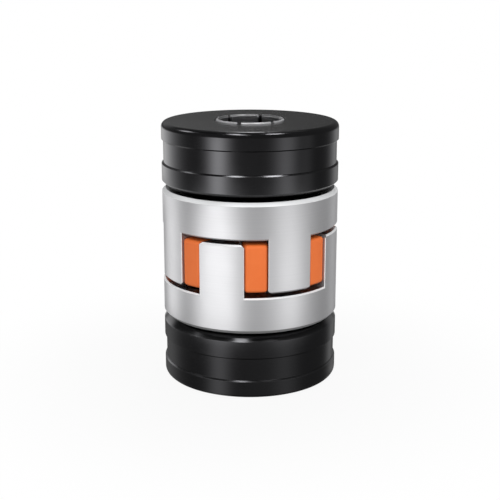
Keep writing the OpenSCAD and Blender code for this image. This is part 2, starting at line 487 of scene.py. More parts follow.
        # Painted shade: the colour darkens towards a narrow gap, nearly to black in its depth.
        if any(self.painted_gap_shade_mm):
            low, high = (distance * MM for distance in self.painted_gap_shade_mm)
            values = {"From Min": low, "From Max": high, "To Min": self.GAP_SHADE}
            painted_gap_shade = add_node(tree, Kind.RANGE, {"Value": at.far, **values})
            lit = add_node(tree, Kind.MATH, {0: lit, 1: painted_gap_shade}, operation="MULTIPLY")
        return add_node(tree, Kind.MIX, {"Factor": 1.0, "A": both, "B": lit}, **TIMES)

    def metal(self, at: TurnedPlace, edge: Feed) -> Feed:
        """Metallic value: full on milled faces and in the core, low on cut edges and cut-off walls.

        Args:
            at: The place on the part.
            edge: The mask of the edges.

        Returns:
            What gives the metallic value.
        """
        tree = at.tree
        steep = add_node(tree, Kind.MATH, {0: at.rise}, operation="ABSOLUTE")
        test = {0: steep, 1: self.MILLED_RISE}
        milled = add_node(tree, Kind.MATH, test, operation="GREATER_THAN")
        test = {0: at.radius, 1: self.bare_r_mm * MM}
        core = add_node(tree, Kind.MATH, test, operation="LESS_THAN")
        bare = add_node(tree, Kind.MATH, {0: milled, 1: core}, operation="MAXIMUM")
        satin = add_node(tree, Kind.RANGE, {"Value": bare, "To Min": self.metallic})
        end = add_node(tree, Kind.RANGE, {**self.past_end(at), "To Max": self.END_WALL})
        upright = add_node(tree, Kind.MATH, {0: steep, 1: self.WALL_RISE}, operation="LESS_THAN")
        wall = add_node(tree, Kind.MATH, {0: end, 1: upright}, operation="MULTIPLY")
        cut = add_node(tree, Kind.MATH, {0: edge, 1: wall}, operation="MAXIMUM")
        return add_node(tree, Kind.MIX, {"Factor": cut, "A": satin, "B": self.edge_metallic})

    def build(self) -> bpy.types.Material:
        """Makes the node material.

        The sum of height and radius grows along every turned face, so noise over that one number draws
        rings on faces, walls and cones alike.

        Returns:
            The material.
        """
        material = empty_material(self.name)
        tree = material.node_tree
        at = TurnedPlace.read(tree)
        edge = self.edge_and_highlight_mask(at)
        sweep = add_node(tree, Kind.MATH, {0: at.height, 1: at.radius}, operation="ADD")
        noise = {"Scale": 1.0 / (self.feed_mm * MM), **self.MARK_NOISE}
        marks = add_node(tree, Kind.NOISE, {"W": sweep, **noise}, noise_dimensions="1D")
        noise = {"Scale": 1.0 / (self.blotch_mm * MM), **self.BLOTCH_NOISE}
        clouds = add_node(tree, Kind.NOISE, {"Vector": at.place, **noise})
        low, high = self.roughness - self.blotch_spread, self.roughness + self.blotch_spread
        values = {"Value": clouds, **NOISE_SPAN, "To Min": low, "To Max": high}
        matt = add_node(tree, Kind.RANGE, values)
        rough = add_node(tree, Kind.MIX, {"Factor": edge, "A": matt, "B": self.edge_roughness})
        rounding = {"Radius": self.edge_round_mm * MM}
        soft = add_node(tree, Kind.BEVEL, rounding, samples=self.BEVEL_SAMPLES)
        depth = {"Strength": BUMP_STRENGTH, "Distance": self.mark_depth_mm * MM}
        bump = add_node(tree, Kind.BUMP, {**depth, "Height": marks, "Normal": soft})
        shader = add_node(
            tree,
            Kind.PRINCIPLED,
            {
                "Base Color": self.tint(at, edge, marks),
                "Metallic": self.metal(at, edge) if self.bare_r_mm else self.metallic,
                "Roughness": rough,
                "Normal": bump,
            },
        )
        add_node(tree, Kind.SURFACE_OUT, {"Surface": shader})
        return material


@dataclass(frozen=True)
class MouldedFinish:
    """A finish of a moulded elastomer: even colour with faint mottling and a fine eroded grain.

    Attributes:
        name: Real material and process.
        colour: Main colour.
        shade_colour: Colour of the slightly darker patches.
        roughness: Mean roughness.
        roughness_spread: How far the roughness goes up and down with the grain.
        mottle_mm: Size of the patches.
        grain_mm: Size of the grain, drawn coarser than the mould's so that it shows.
        grain_depth_mm: Height of the grain.
    """

    name: str
    colour: str
    shade_colour: str
    roughness: float
    roughness_spread: float
    mottle_mm: float
    grain_mm: float
    grain_depth_mm: float

    # Fineness of the noises that draw the patches and the grain.
    MOTTLE_DETAIL: ClassVar[float] = 3.0
    GRAIN_DETAIL: ClassVar[float] = 2.0

    def build(self) -> bpy.types.Material:
        """Makes the node material from two noises over real millimetres.

        Returns:
            The material.
        """
        material = empty_material(self.name)
        tree = material.node_tree
        place = add_node(tree, Kind.PLACE, {}).outputs["Object"]
        mottle, grain = (
            add_node(tree, Kind.NOISE, {"Vector": place, "Scale": 1.0 / (size * MM), "Detail": detail})
            for size, detail in (
                (self.mottle_mm, self.MOTTLE_DETAIL),
                (self.grain_mm, self.GRAIN_DETAIL),
            )
        )
        tones = {"A": to_linear(self.shade_colour), "B": to_linear(self.colour)}
        colour = add_node(tree, Kind.MIX, {"Factor": mottle, **tones}, data_type="RGBA")
        low = self.roughness - self.roughness_spread
        high = self.roughness + self.roughness_spread
        values = {"Value": grain, **NOISE_SPAN, "To Min": low, "To Max": high}
        matt = add_node(tree, Kind.RANGE, values)
        depth = {"Strength": BUMP_STRENGTH, "Distance": self.grain_depth_mm * MM}
        bump = add_node(tree, Kind.BUMP, {**depth, "Height": grain})
        surface = {"Base Color": colour, "Roughness": matt, "Normal": bump}
        shader = add_node(tree, Kind.PRINCIPLED, surface)
        add_node(tree, Kind.SURFACE_OUT, {"Surface": shader})
        return material


# Clear anodised aluminium, fine turned: a silky grey-white metal with soft upright highlights. Its
# chamfers, cut afterwards, are near white partly as a painted highlight and read as thin white lines;
# faces turned down carry painted shade.
HUB_FINISH = TurnedFinish(
    name="aluminium_fine_turned_clear_anodised",
    colour="#DDDDDF",
    metallic=0.7,
    roughness=0.32,
    edges=Edge.CUT,
    edge_and_highlight_colour="#F6F7F8",
    edge_roughness=0.45,
    under=0.5,
    edge_metallic=0.3,
    bare_r_mm=14.0,
    end_mm=40.45,
)

# Black anodised aluminium, turned: near black, with long soft reflections and broken edges rubbed a
# little lighter, partly as a painted highlight; faces turned down and the faces in the gap beside the
# hub carry painted shade.
RING_FINISH = TurnedFinish(
    name="aluminium_turned_black_anodised",
    colour="#5D5D5F",
    metallic=1.0,
    roughness=0.16,
    edges=Edge.RIM,
    edge_and_highlight_colour="#676769",
    edge_roughness=0.2,
    under=0.25,
    rim_r_mm=27.2,
    painted_gap_shade_mm=(20.4, 22.3),
)

# Polyurethane, injection moulded: a warm opaque orange with a dull sheen.
SPIDER_FINISH = MouldedFinish(
    name="polyurethane_injection_moulded",
    colour="#EE7A3B",
    shade_colour="#E66F31",
    roughness=0.5,
    roughness_spread=0.05,
    mottle_mm=4.0,
    grain_mm=0.35,
    grain_depth_mm=0.02,
)

# Alloy steel, black oxide: a dark blued metal, worn to grey on the crests of threads and knurls; faces
# turned down carry painted shade.
SCREW_FINISH = TurnedFinish(
    name="alloy_steel_black_oxide",
    colour="#3C3D42",
    metallic=1.0,
    roughness=0.42,
    edges=Edge.WORN,
    edge_and_highlight_colour="#75767A",
    edge_roughness=0.34,
    under=0.25,
    feed_mm=0.4,
    mark_depth_mm=0.003,
    blotch_mm=2.0,
    edge_round_mm=0.05,
)


@dataclass
class CadPiece:
    """A piece that shows its CAD solid, under a finish of its own.

    Attributes:
        half: Which half of the coupling it belongs to.
        stem: First part of the CAD node's name.
    """

    half: Half
    stem: ClassVar[str]

    def dress(self, metal: bpy.types.Material) -> str:
        """Gives the CAD node its finish.

        Args:
            metal: The finish's material.

        Returns:
            The node's name.
        """
        name = f"{self.stem}_{self.half.word}"
        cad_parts[name].material_slots[0].material = metal
        return name


class Hub(CadPiece):
    """One aluminium hub: a jawed flange and a slit tapered collet."""

    stem = "hub"


class ClampRing(CadPiece):
    """One black clamp ring, pushed onto the taper of a hub."""

    stem = "clamp_ring"


@dataclass
class Spider:
    """Elastic spider: eight crowned arms on a ring, every edge rounded as a mould leaves it.

    Sizes are millimetres.

    Attributes:
        arms: Number of arms.
        arm_w: Greatest width of an arm.
        crown_r: Radius of the crowned flanks.
        crown_at: Distance from the axis at which an arm is widest.
        web_r: Outside radius of the ring that joins the arms.
        hole_r: Radius of the hole.
        corner_r: Rounding of an arm's corners, seen along the axis.
        root_r: Rounding where an arm meets the ring.
        neck_deg: Half of the turn on the hole's edge that the grid of an arm's end faces runs into.
        edge_r: Rounding of the edges around both end faces.
        arc_steps: Points along each of the long arcs of the outline.
        bend_steps: Points around each rounding.
    """

    arms: int = 8
    arm_w: float = 7.7
    crown_r: float = 17.0
    crown_at: float = 22.25
    web_r: float = 16.7
    hole_r: float = 13.7
    corner_r: float = 1.1
    root_r: float = 0.8
    neck_deg: float = 5.0
    edge_r: float = 1.0
    arc_steps: int = 12
    bend_steps: int = 7

    @staticmethod
    def bearing(start: np.ndarray, to: np.ndarray) -> float:
        """Direction from one point to another, in radians."""
        return math.atan2(to[1] - start[1], to[0] - start[0])

    @staticmethod
    def meeting(centre: np.ndarray, far: float, from_axis: float) -> np.ndarray:
        """Point at a distance from a centre and at another from the axis, on the arm's upper side.

        Args:
            centre: The centre, two numbers.
            far: Distance from the centre.
            from_axis: Distance from the axis.

        Returns:
            The crossing of the two circles with the greater second coordinate.
        """
        span = float(np.hypot(*centre))
        along = (from_axis**2 - far**2 + span**2) / (2 * span)
        across = math.sqrt(from_axis**2 - along**2)
        unit = centre / span
        normal = np.array([-unit[1], unit[0]])
        return max((unit * along + s * normal * across for s in (-1, 1)), key=lambda p: p[1])

    def outline(self, end_r: float) -> tuple[np.ndarray, np.ndarray, np.ndarray]:
        """Outline of the spider, seen along the axis, with its normals and its partners on the hole.

        One side of an arm is a chain of arcs that touch: half of the arm's end, the corner rounding,
        the crowned flank, a hollow rounding and the ring. A rounding's centre is where two circles
        cross, one about each arc's own centre, and it touches each arc on the line through both
        centres. The other side is the mirror image, and the arms are turned copies. The bearing of a
        point's partner grows evenly along each arc, up to the neck along an arm, so that no two lines
        between partners cross.

        Args:
            end_r: Distance of an arm's end from the axis.

        Returns:
            Points and unit normals, two columns each, and the bearings of their partners, once around
            against the clock.
        """
        axis = np.zeros(2)
        flank = np.array([self.crown_at, self.arm_w / 2 - self.crown_r])
        corner = self.meeting(flank, self.crown_r - self.corner_r, end_r - self.corner_r)
        root = self.meeting(flank, self.crown_r + self.root_r, self.web_r + self.root_r)
        half_pitch = math.pi / self.arms
        end_turn, web_turn = self.bearing(axis, corner), self.bearing(axis, root)
        corner_turn, root_turn = self.bearing(flank, corner), self.bearing(flank, root)
        hollow = (self.bearing(root, flank), self.bearing(root, axis))
        chain = (
            (axis, end_r, 0.0, end_turn, self.arc_steps, 1.0),
            (corner, self.corner_r, end_turn, corner_turn, self.bend_steps, 1.0),
            (flank, self.crown_r, corner_turn, root_turn, self.arc_steps, 1.0),
            (root, self.root_r, *hollow, self.bend_steps, -1.0),
            (axis, self.web_r, web_turn, half_pitch, self.arc_steps, 1.0),
        )
        neck = math.radians(self.neck_deg)
        marks = (0.0, neck / 3, neck * 2 / 3, neck, web_turn, half_pitch)
        points, normals, partners = [], [], []
        for (centre, radius, start, stop, steps, side), low, high in zip(chain, marks, marks[1:]):
            turn = np.linspace(start, stop, steps, endpoint=False)
            ray = np.stack([np.cos(turn), np.sin(turn)], axis=-1)
            points.append(centre + radius * ray)
            normals.append(side * ray)
            partners.append(np.linspace(low, high, steps, endpoint=False))
        last = np.array([[math.cos(half_pitch), math.sin(half_pitch)]])
        side_points = np.concatenate([*points, self.web_r * last])
        side_normals = np.concatenate([*normals, last])
        side_partners = np.concatenate([*partners, [half_pitch]])

        mirror = np.array([1.0, -1.0])
        arm_points = np.concatenate([side_points[:0:-1] * mirror, side_points[:-1]])
        arm_normals = np.concatenate([side_normals[:0:-1] * mirror, side_normals[:-1]])
        arm_partners = np.concatenate([-side_partners[:0:-1], side_partners[:-1]])
        turns = np.arange(self.arms) * FULL_TURN / self.arms
        spin = np.array([[np.cos(turns), -np.sin(turns)], [np.sin(turns), np.cos(turns)]])
        return (
            np.einsum("ija,nj->ani", spin, arm_points).reshape(-1, 2),
            np.einsum("ija,nj->ani", spin, arm_normals).reshape(-1, 2),
            (turns[:, None] + arm_partners).ravel(),
        )

    def build(self, finish: bpy.types.Material) -> bpy.types.Object:
        """Builds the spider as one closed surface and lets it stand for its CAD node.

        The section runs down the outside, round the lower edge, in along the lower end face, up the
        hole and back. Every row of the grid is a mix of two curves: the outline moved in along its
        normals, and a circle about the axis; the share of the circle goes from nought to one along the
        end faces.

        Args:
            finish: The elastomer's material.

        Returns:
            The spider's object.
        """
        low, high = (np.array(corner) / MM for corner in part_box("spider"))
        mid, half_t = (low[2] + high[2]) / 2, (high[2] - low[2]) / 2
        points, normals, turn = self.outline(high[0])

        edge_z = half_t - self.edge_r
        bend = np.linspace(0.0, math.pi / 2, self.bend_steps)
        side = np.linspace(edge_z, -edge_z, self.arc_steps)[1:-1]
        across = np.linspace(0.0, 1.0, self.arc_steps)[1:-1]
        inset, fall = self.edge_r * (1 - np.cos(bend)), self.edge_r * np.sin(bend)
        no_side, no_bend = 0 * side, 0 * bend
        edge_bend, edge_across = self.edge_r + no_bend, self.edge_r + 0 * across
        rows_inset = np.concatenate([
            no_side, inset, edge_across, edge_bend, no_side, edge_bend, edge_across, inset[::-1],
        ])
        rows_circle = np.concatenate([
            no_side, no_bend, across, 1 + no_bend, 1 + no_side, 1 + no_bend, across[::-1], no_bend,
        ])
        rows_radius = self.hole_r + np.concatenate([
            no_side, no_bend, edge_across, inset[::-1], no_side, inset, edge_across, no_bend,
        ])
        rows_z = mid + np.concatenate([
            side, -edge_z - fall, -half_t + 0 * across, -edge_z - fall[::-1],
            side[::-1], edge_z + fall, half_t + 0 * across, edge_z + fall[::-1],
        ])

        ray = np.stack([np.cos(turn), np.sin(turn)], axis=-1)
        share = rows_circle[:, None, None]
        flat = (1 - share) * (points - rows_inset[:, None, None] * normals)
        flat = flat + share * rows_radius[:, None, None] * ray
        height = np.broadcast_to(rows_z[:, None, None], flat.shape[:2] + (1,))
        grid = np.concatenate([flat, height], axis=-1)
        cloud = grid.reshape(-1, 3)
        faces = facing_outwards(cloud, grid_faces(*grid.shape[:2], True, True))
        made = mesh_object("spider_moulded", cloud, faces)
        made.data.materials.append(finish)
        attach(made, BODY)
        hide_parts("spider")
        return made


@dataclass
class ClampScrews:
    """The socket head cap screws of one half, with rolled threads, knurled heads and hexagon sockets.

    Sizes are millimetres; heights run from the socket's mouth to the tip.

    Attributes:
        half: Which half of the coupling they belong to.
        count: Number of screws.
        at_r: Distance of a screw from the axis.
        first_deg: Angle of the first screw in the upper half.
        screw_r: Outside radius of the thread.
        pitch: Pitch of the thread.
        thread_depth: Depth of the thread.
        crest: Share of a pitch that the flat of a crest takes.
        root: Share of a pitch that the flat of a root takes.
        run_in: Pitches over which the thread grows to its depth below the head.
        head_r: Radius of the head over the knurl.
        head_h: Height of the head.
        head_ease: How far the head's edge stands back from the knurl.
        knurl_depth: Depth of the knurl.
        knurl_rows: Rows of points along the knurl, the first and the last of them plain.
        socket_af: Width across the flats of the socket.
        socket_depth: Depth of the socket.
        socket_flare: Width of the socket at its mouth, over its width further in.
        floor_share: Width of the socket's floor, over that of the socket.
        cut: Chamfer of the head and of the tip.
        pole_share: Size of the ring around each pole: over that of the socket, and in millimetres at
            the tip.
        columns: Points around, two for each ridge of the knurl.
        rows_per_pitch: Rows along one pitch of the thread.
        sharp_deg: Edges that bend more than this stay sharp.
    """

    half: Half
    count: int = 4
    at_r: float = 19.73
    first_deg: float = 54.5
    screw_r: float = 2.5
    pitch: float = 0.8
    thread_depth: float = 0.49
    crest: float = 0.125
    root: float = 0.25
    run_in: float = 2.0
    head_r: float = 4.25
    head_h: float = 5.0
    head_ease: float = 0.1
    knurl_depth: float = 0.12
    knurl_rows: int = 4
    socket_af: float = 4.0
    socket_depth: float = 2.5
    socket_flare: float = 1.08
    floor_share: float = 0.999
    cut: float = 0.3
    pole_share: float = 0.02
    columns: int = 72
    rows_per_pitch: int = 8
    sharp_deg: float = 35.0

    def one(self, length: float) -> tuple[np.ndarray, np.ndarray]:
        """Grid of one screw about its own axis, with its wear.

        Each row is a ring at one height. Its radius is a plain profile, less a triangle wave around
        the head for the knurl, less a flat-topped wave of height and turn together for the helical
        thread; in the socket it is the hexagon's, which is half the width across the flats over the
        cosine of the turn from the nearest flat. The wear is one on the crests of the thread, the
        ridges of the knurl and the edge of the head, and falls to nought with the depth below them.

        Args:
            length: Height of the tip above the socket's mouth.

        Returns:
            Points in rows and columns, from the socket's floor to the tip, and the wear of each.
        """
        turn = np.arange(self.columns) * FULL_TURN / self.columns
        flat = FULL_TURN / 6
        hexagon = (self.socket_af / 2) / np.cos((turn + flat / 2) % flat - flat / 2)
        sizes = np.array([self.pole_share, self.floor_share, 1.0, self.socket_flare])
        socket = sizes[:, None] * hexagon
        socket_z = np.array([self.socket_depth + self.cut, self.socket_depth, self.cut, 0.0])

        knurl_z = np.linspace(2 * self.cut, self.head_h - self.cut, self.knurl_rows)
        knurled = 1.0 * ((knurl_z > knurl_z[0]) & (knurl_z < knurl_z[-1]))
        ridges = np.concatenate([[0.0, 0.0], knurled, [0.0, 0.0]])[:, None]
        valleys = (np.arange(self.columns) % 2).astype(float)
        head_in = self.head_r - self.cut
        profile = np.concatenate([
            [head_in, self.head_r - self.head_ease],
            self.head_r + 0 * knurl_z,
            [head_in, self.screw_r + self.cut],
        ])
        head = profile[:, None] - self.knurl_depth * ridges * valleys
        head_z = np.concatenate([[0.0, self.cut], knurl_z, [self.head_h, self.head_h]])
        head_wear = ridges * (1 - valleys)
        head_wear[1] = 1.0

        row_h = self.pitch / self.rows_per_pitch
        shank_z = np.arange(self.head_h + self.cut, length - self.cut, row_h)
        fade = np.clip((shank_z - self.head_h) / (self.run_in * self.pitch), 0, 1)[:, None]
        phase = (shank_z[:, None] / self.pitch - turn / FULL_TURN) % 1.0
        wave = np.abs(2 * phase - 1) - self.crest
        wave = np.clip(wave / (1 - self.crest - self.root), 0, 1)
        root_r = self.screw_r - self.thread_depth
        cone = self.screw_r + (length - self.cut - shank_z) - self.cut
        thread = self.screw_r - self.thread_depth * wave * fade
        shank = np.minimum(thread, np.maximum(cone, root_r)[:, None])
        tip = np.array([root_r - self.cut, self.pole_share])[:, None] + 0 * turn

        rings = np.concatenate([socket, head, shank, tip])
        heights = np.concatenate([socket_z, head_z, shank_z, [length, length]])[:, None]
        wear = np.concatenate([0 * socket, head_wear, (1 - wave) ** 2 * fade, 0 * tip])
        points = [rings * np.cos(turn), rings * np.sin(turn), heights + 0 * rings]
        return np.stack(points, axis=-1), wear

    def build(self, finish: bpy.types.Material) -> bpy.types.Object:
        """Builds the screws as one object and lets it stand for the CAD node.

        Args:
            finish: The steel's material.

        Returns:
            The screws' object.
        """
        node = f"clamp_screws_{self.half.word}"
        low, high = (np.array(corner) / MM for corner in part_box(node))
        one, wear = self.one(high[2] - low[2])
        rows, columns = one.shape[:2]
        poles = np.array([[0, 0, one[0, 0, 2]], [0, 0, one[-1, 0, 2]]])
        cloud = np.concatenate([one.reshape(-1, 3), poles])
        worn = np.concatenate([wear.ravel(), [0.0, 0.0]])

        ring = np.arange(columns)
        after = (ring + 1) % columns
        last = (rows - 1) * columns
        pole = 0 * ring + rows * columns
        fan = np.stack([after, ring, pole, pole], axis=-1)
        end_fan = np.stack([last + ring, last + after, pole + 1, pole + 1], axis=-1)
        quads = np.concatenate([grid_faces(rows, columns, False, True), fan, end_fan])
        quads = facing_outwards(cloud, quads)

        angles = np.radians(self.first_deg + np.arange(self.count) * 360.0 / self.count)
        centres = self.at_r * np.stack([np.cos(angles), np.sin(angles), 0 * angles], axis=-1)
        placed = cloud[None] + centres[:, None]
        if self.half is Half.UPPER:
            placed = placed + np.array([0.0, 0.0, low[2]])
        else:
            placed = placed * np.array([1.0, -1.0, -1.0]) + np.array([0.0, 0.0, high[2]])
        steps = np.arange(self.count) * len(cloud)
        faces = (quads[None] + steps[:, None, None]).reshape(-1, 4)
        made = mesh_object(f"{node}_threaded", placed.reshape(-1, 3), faces, self.sharp_deg)
        set_point_values(made, WEAR, np.tile(worn, self.count))
        made.data.materials.append(finish)
        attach(made, BODY)
        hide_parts(node)
        return made


@dataclass(frozen=True)
class SoftBox:
    """A square area lamp for the object's diffuse light.

    Attributes:
        name: Name of the lamp.
        azimuth_deg: Direction from the camera, positive to the viewer's right.
        elevation_deg: Height above the horizon.
        watts: Power.
        distance: Distance from the object, in metres.
        side: Side of the square, in metres.
    """

    name: str
    azimuth_deg: float
    elevation_deg: float
    watts: float
    distance: float = 0.9
    side: float = 0.6


class Zone(Enum):
    """Parts of the tent, each mirrored by one part of the object."""

    TABLE = "the table near the object, seen in the lower ring"
    LOW = "the foot of the wall, seen in the hubs"
    HIGH = "the middle of the wall, seen in the upper ring"
    BACK = "the wall above the object, seen in the upper end"
    TOP = "the top of the wall, seen in the rounding around the upper end"
    ROOF = "the ceiling, seen in the upper end from above"

    @property
    def in_walls(self) -> bool:
        """Whether the object's upright walls mirror it."""
        return self in (Zone.TABLE, Zone.LOW, Zone.HIGH)


@dataclass(frozen=True)
class Card:
    """An upright reflector card with soft sides.

    Attributes:
        zone: Part of the tent that it stands in.
        azimuth_deg: Direction from the camera, positive to the right: where upright walls mirror the
            card to the camera, or its own where they don't.
        half_width_deg: Turn from its middle at which it has faded to about a third.
        level: Radiance in its middle.
    """

    zone: Zone
    azimuth_deg: float
    half_width_deg: float
    level: float


@dataclass(frozen=True)
class Overhead:
    """A round lamp above the object, for glints on its metal edges alone.

    Attributes:
        name: Name of the lamp.
        azimuth_deg: Direction from the camera, positive to the right.
        reach: Distance of its middle from the object's axis, in metres.
        radius: Radius of the lamp, in metres.
        level: Radiance.
    """

    name: str
    azimuth_deg: float
    reach: float
    radius: float
    level: float

    @property
    def watts(self) -> float:
        """Power of a flat lamp: radiance times pi times its area."""
        return self.level * math.pi * math.pi * self.radius**2


@dataclass(frozen=True)
class Fade:
    """A share that goes from nought to one along a length.

    Attributes:
        start: Where it starts to rise, in metres.
        width: Length over which it rises, in metres.
    """

    start: float
    width: float

    def share(self, at: np.ndarray) -> np.ndarray:
        """The share: distance past the start over the width, kept between nought and one."""
        return np.clip((at - self.start) / self.width, 0, 1)


@dataclass(frozen=True)
class Floor:
    """Plain white floor that keeps the object's soft shadow.

    Lengths are metres.

    Attributes:
        radius: Radius of the floor.
        pole_r: Radius of the ring around its middle.
        rings: Rings of points.
        spokes: Points around each ring.
        paper: Colour of the paper in the shadow.
        white: Share of the world's white in the floor beside the object.
        fade: Distance at which the floor goes over to that white alone.
    """

    radius: float = 3.0
    pole_r: float = 0.00001
    rings: int = 60
    spokes: int = 64
    paper: str = "#A6A6A6"
    white: float = 0.93
    fade: Fade = Fade(0.03, 0.08)

    def material(self) -> bpy.types.Material:
        """Matt white paper: a plain pale ground that takes a faint shadow.

        It shows its own shadowed white near the object and goes over to the white of the world further
        out. Its underside is clear, so that the object can be seen from below.

        Returns:
            The material.
        """
        material = empty_material("paper_white_matt")
        tree = material.node_tree
        place = add_node(tree, Kind.PLACE, {}).outputs["Object"]
        reach = add_node(tree, Kind.VECTOR, {0: place}, operation="LENGTH")
        start, stop = self.fade.start, self.fade.start + self.fade.width
        values = {"Value": reach, "From Min": start, "From Max": stop, "To Min": self.white}
        share = add_node(tree, Kind.RANGE, values, interpolation_type="SMOOTHSTEP")
        seen = {0: share, 1: seen_directly(tree)}
        shown = add_node(tree, Kind.MATH, seen, operation="MULTIPLY")
        paper = add_node(tree, Kind.DIFFUSE, {"Color": to_linear(self.paper)})
        white = add_node(tree, Kind.EMISSION, {"Color": to_linear(WHITE), "Strength": 1.0})
        blend = add_node(tree, Kind.MIX_SHADER, {0: shown, 1: paper, 2: white})
        below = add_node(tree, Kind.GEOMETRY, {}).outputs["Backfacing"]
        clear = add_node(tree, Kind.CLEAR, {})
        surface = add_node(tree, Kind.MIX_SHADER, {0: below, 1: blend, 2: clear})
        add_node(tree, Kind.SURFACE_OUT, {"Surface": surface})
        return material

    def build(self) -> bpy.types.Object:
        """Builds the disc as a grid of radius and turn that faces up.

        Returns:
            The floor's object.
        """
        radius = np.geomspace(self.pole_r, self.radius, self.rings) / MM
        turn = np.arange(self.spokes) * FULL_TURN / self.spokes
        flat = np.stack([np.cos(turn), np.sin(turn), 0 * turn], axis=-1)
        grid = radius[:, None, None] * flat
        upwards = grid_faces(self.rings, self.spokes, False, True)[:, ::-1]
        made = mesh_object("studio_floor", grid.reshape(-1, 3), upwards)
        made.data.materials.append(self.material())
        return made


@dataclass(frozen=True)
class Tent:
    """Reflector cards around and above the object, for its metal alone.

    Lengths are metres. Azimuths run from the camera's direction, positive to the viewer's right.

    Attributes:
        radius: Radius of the wall of cards.
        height: Height of the wall.
        near: Distance at which the tent's table starts.
        lift: Height of that table above the floor.
        pole_r: Radius of the hole in the ceiling.
        rows: Rows of points along the table, the wall and the ceiling.
        turns: Points around.
        sharp_deg: Edges that bend more than this stay sharp.
        base: Radiance between the cards.
        roof_dim: Share of that radiance that the ceiling lacks.
        off_table: Distance at which the table goes over to the foot of the wall.
        off_foot: Height at which the foot goes over to the middle of the wall.
        off_high: Height at which the cards of the middle end.
        on_back: Height at which the cards of the back start.
        on_top: Height at which those of the top start.
        off_top: Height at which those of the top end.
        on_roof: Height at which the ceiling starts.
        roof_hole: Distance at which the cards of the ceiling start.
        mirror_rounds: How often the sum for the mirrored direction is repeated.
        cards: The cards.
    """

    radius: float = 0.15
    height: float = 0.26
    near: float = 0.012
    lift: float = 0.0001
    pole_r: float = 0.002
    rows: tuple[int, int, int] = (30, 60, 50)
    turns: int = 289
    sharp_deg: float = 30.0
    base: float = 0.085
    roof_dim: float = 0.6
    off_table: Fade = Fade(0.076, 0.012)
    off_foot: Fade = Fade(0.028, 0.012)
    off_high: Fade = Fade(0.064, 0.016)
    on_back: Fade = Fade(0.09, 0.02)
    on_top: Fade = Fade(0.155, 0.012)
    off_top: Fade = Fade(0.21, 0.012)
    on_roof: Fade = Fade(0.248, 0.012)
    roof_hole: Fade = Fade(0.02, 0.04)
    mirror_rounds: int = 6
    cards: tuple[Card, ...] = (
        Card(Zone.HIGH, -41.5, 13.5, 1.75),
        Card(Zone.HIGH, 0.0, 40.0, 0.03),
        Card(Zone.HIGH, 47.0, 15.0, 0.6),
        Card(Zone.HIGH, 78.0, 10.0, 0.12),
        Card(Zone.HIGH, -138.0, 29.0, 1.1),
        Card(Zone.HIGH, 144.0, 17.0, 0.42),
        Card(Zone.HIGH, 178.0, 7.0, 0.7),
        Card(Zone.LOW, -58.0, 20.0, 1.34),
        Card(Zone.LOW, -28.0, 18.0, 1.36),
        Card(Zone.LOW, 6.0, 18.0, 0.12),
        Card(Zone.LOW, 52.0, 27.0, 1.03),
        Card(Zone.LOW, -122.0, 22.0, 1.1),
        Card(Zone.LOW, 140.0, 14.0, 0.35),
        Card(Zone.LOW, -169.0, 8.0, 0.9),
        Card(Zone.LOW, 171.0, 8.0, 0.9),
        Card(Zone.TABLE, -42.0, 15.0, 0.42),
        Card(Zone.TABLE, 10.0, 30.0, 0.03),
        Card(Zone.TABLE, 48.0, 18.0, 0.15),
        Card(Zone.TABLE, -130.0, 24.0, 0.18),
        Card(Zone.TABLE, 142.0, 14.0, 0.25),
        Card(Zone.BACK, -150.0, 25.0, 0.14),
        Card(Zone.TOP, -99.0, 9.0, 3.0),
        Card(Zone.TOP, 179.8, 5.0, 5.5),
        Card(Zone.ROOF, 170.0, 50.0, 0.3),
    )

    def glow(self, reach: np.ndarray, height: np.ndarray, azimuth: np.ndarray) -> np.ndarray:
        """Radiance of the tent's points.

        A point of the wall or the table is first given the direction in which the object's upright
        walls mirror it to the camera: its own azimuth plus the angle whose sine is the object's radius
        over the point's, times the sine of half that direction, found by repeating the sum. A card is a
        bell curve of that direction, or of the azimuth itself where upright walls don't mirror its zone.
        The zones fade into one another along the tent's line.

        Args:
            reach: Distance of each point from the axis, in metres.
            height: Height of each point, in metres.
            azimuth: Azimuth of each point, in radians.

        Returns:
            The radiance of each point.
        """
        object_r = CAD_BOX[1][0]
        mirrored = azimuth
        for _ in range(self.mirror_rounds):
            lead = object_r / np.maximum(reach, object_r) * np.sin(mirrored / 2)
            mirrored = azimuth + np.arcsin(np.clip(lead, -1, 1))
        out, middle = self.off_table.share(reach), self.off_foot.share(height)
        top, above = self.on_top.share(height), self.on_roof.share(height)
        shares = {
            Zone.TABLE: (1 - out) * (1 - middle),
            Zone.LOW: out * (1 - middle),
            Zone.HIGH: middle * (1 - self.off_high.share(height)),
            Zone.BACK: self.on_back.share(height) * (1 - top),
            Zone.TOP: top * (1 - self.off_top.share(height)),
            Zone.ROOF: above * self.roof_hole.share(reach),
        }
        glow = self.base * (1 - self.roof_dim * above)
        for card in self.cards:
            seen_at = np.degrees(mirrored if card.zone.in_walls else azimuth)
            off = (seen_at - card.azimuth_deg + 180.0) % 360.0 - 180.0
            bell = np.exp(-((off / card.half_width_deg) ** 2))
            glow = glow + shares[card.zone] * card.level * bell
        return glow

    @staticmethod
    def material() -> bpy.types.Material:
        """White card, lit from behind: soft upright bands of light for metal to mirror.

        Returns:
            The material.
        """
        material = empty_material("reflector_cards")
        tree = material.node_tree
        level = add_node(tree, Kind.ATTRIBUTE, {}, attribute_name=GLOW).outputs["Fac"]
        card = add_node(tree, Kind.EMISSION, {"Color": to_linear(WHITE), "Strength": level})
        add_node(tree, Kind.SURFACE_OUT, {"Surface": card})
        material.cycles.emission_sampling = "NONE"
        return material

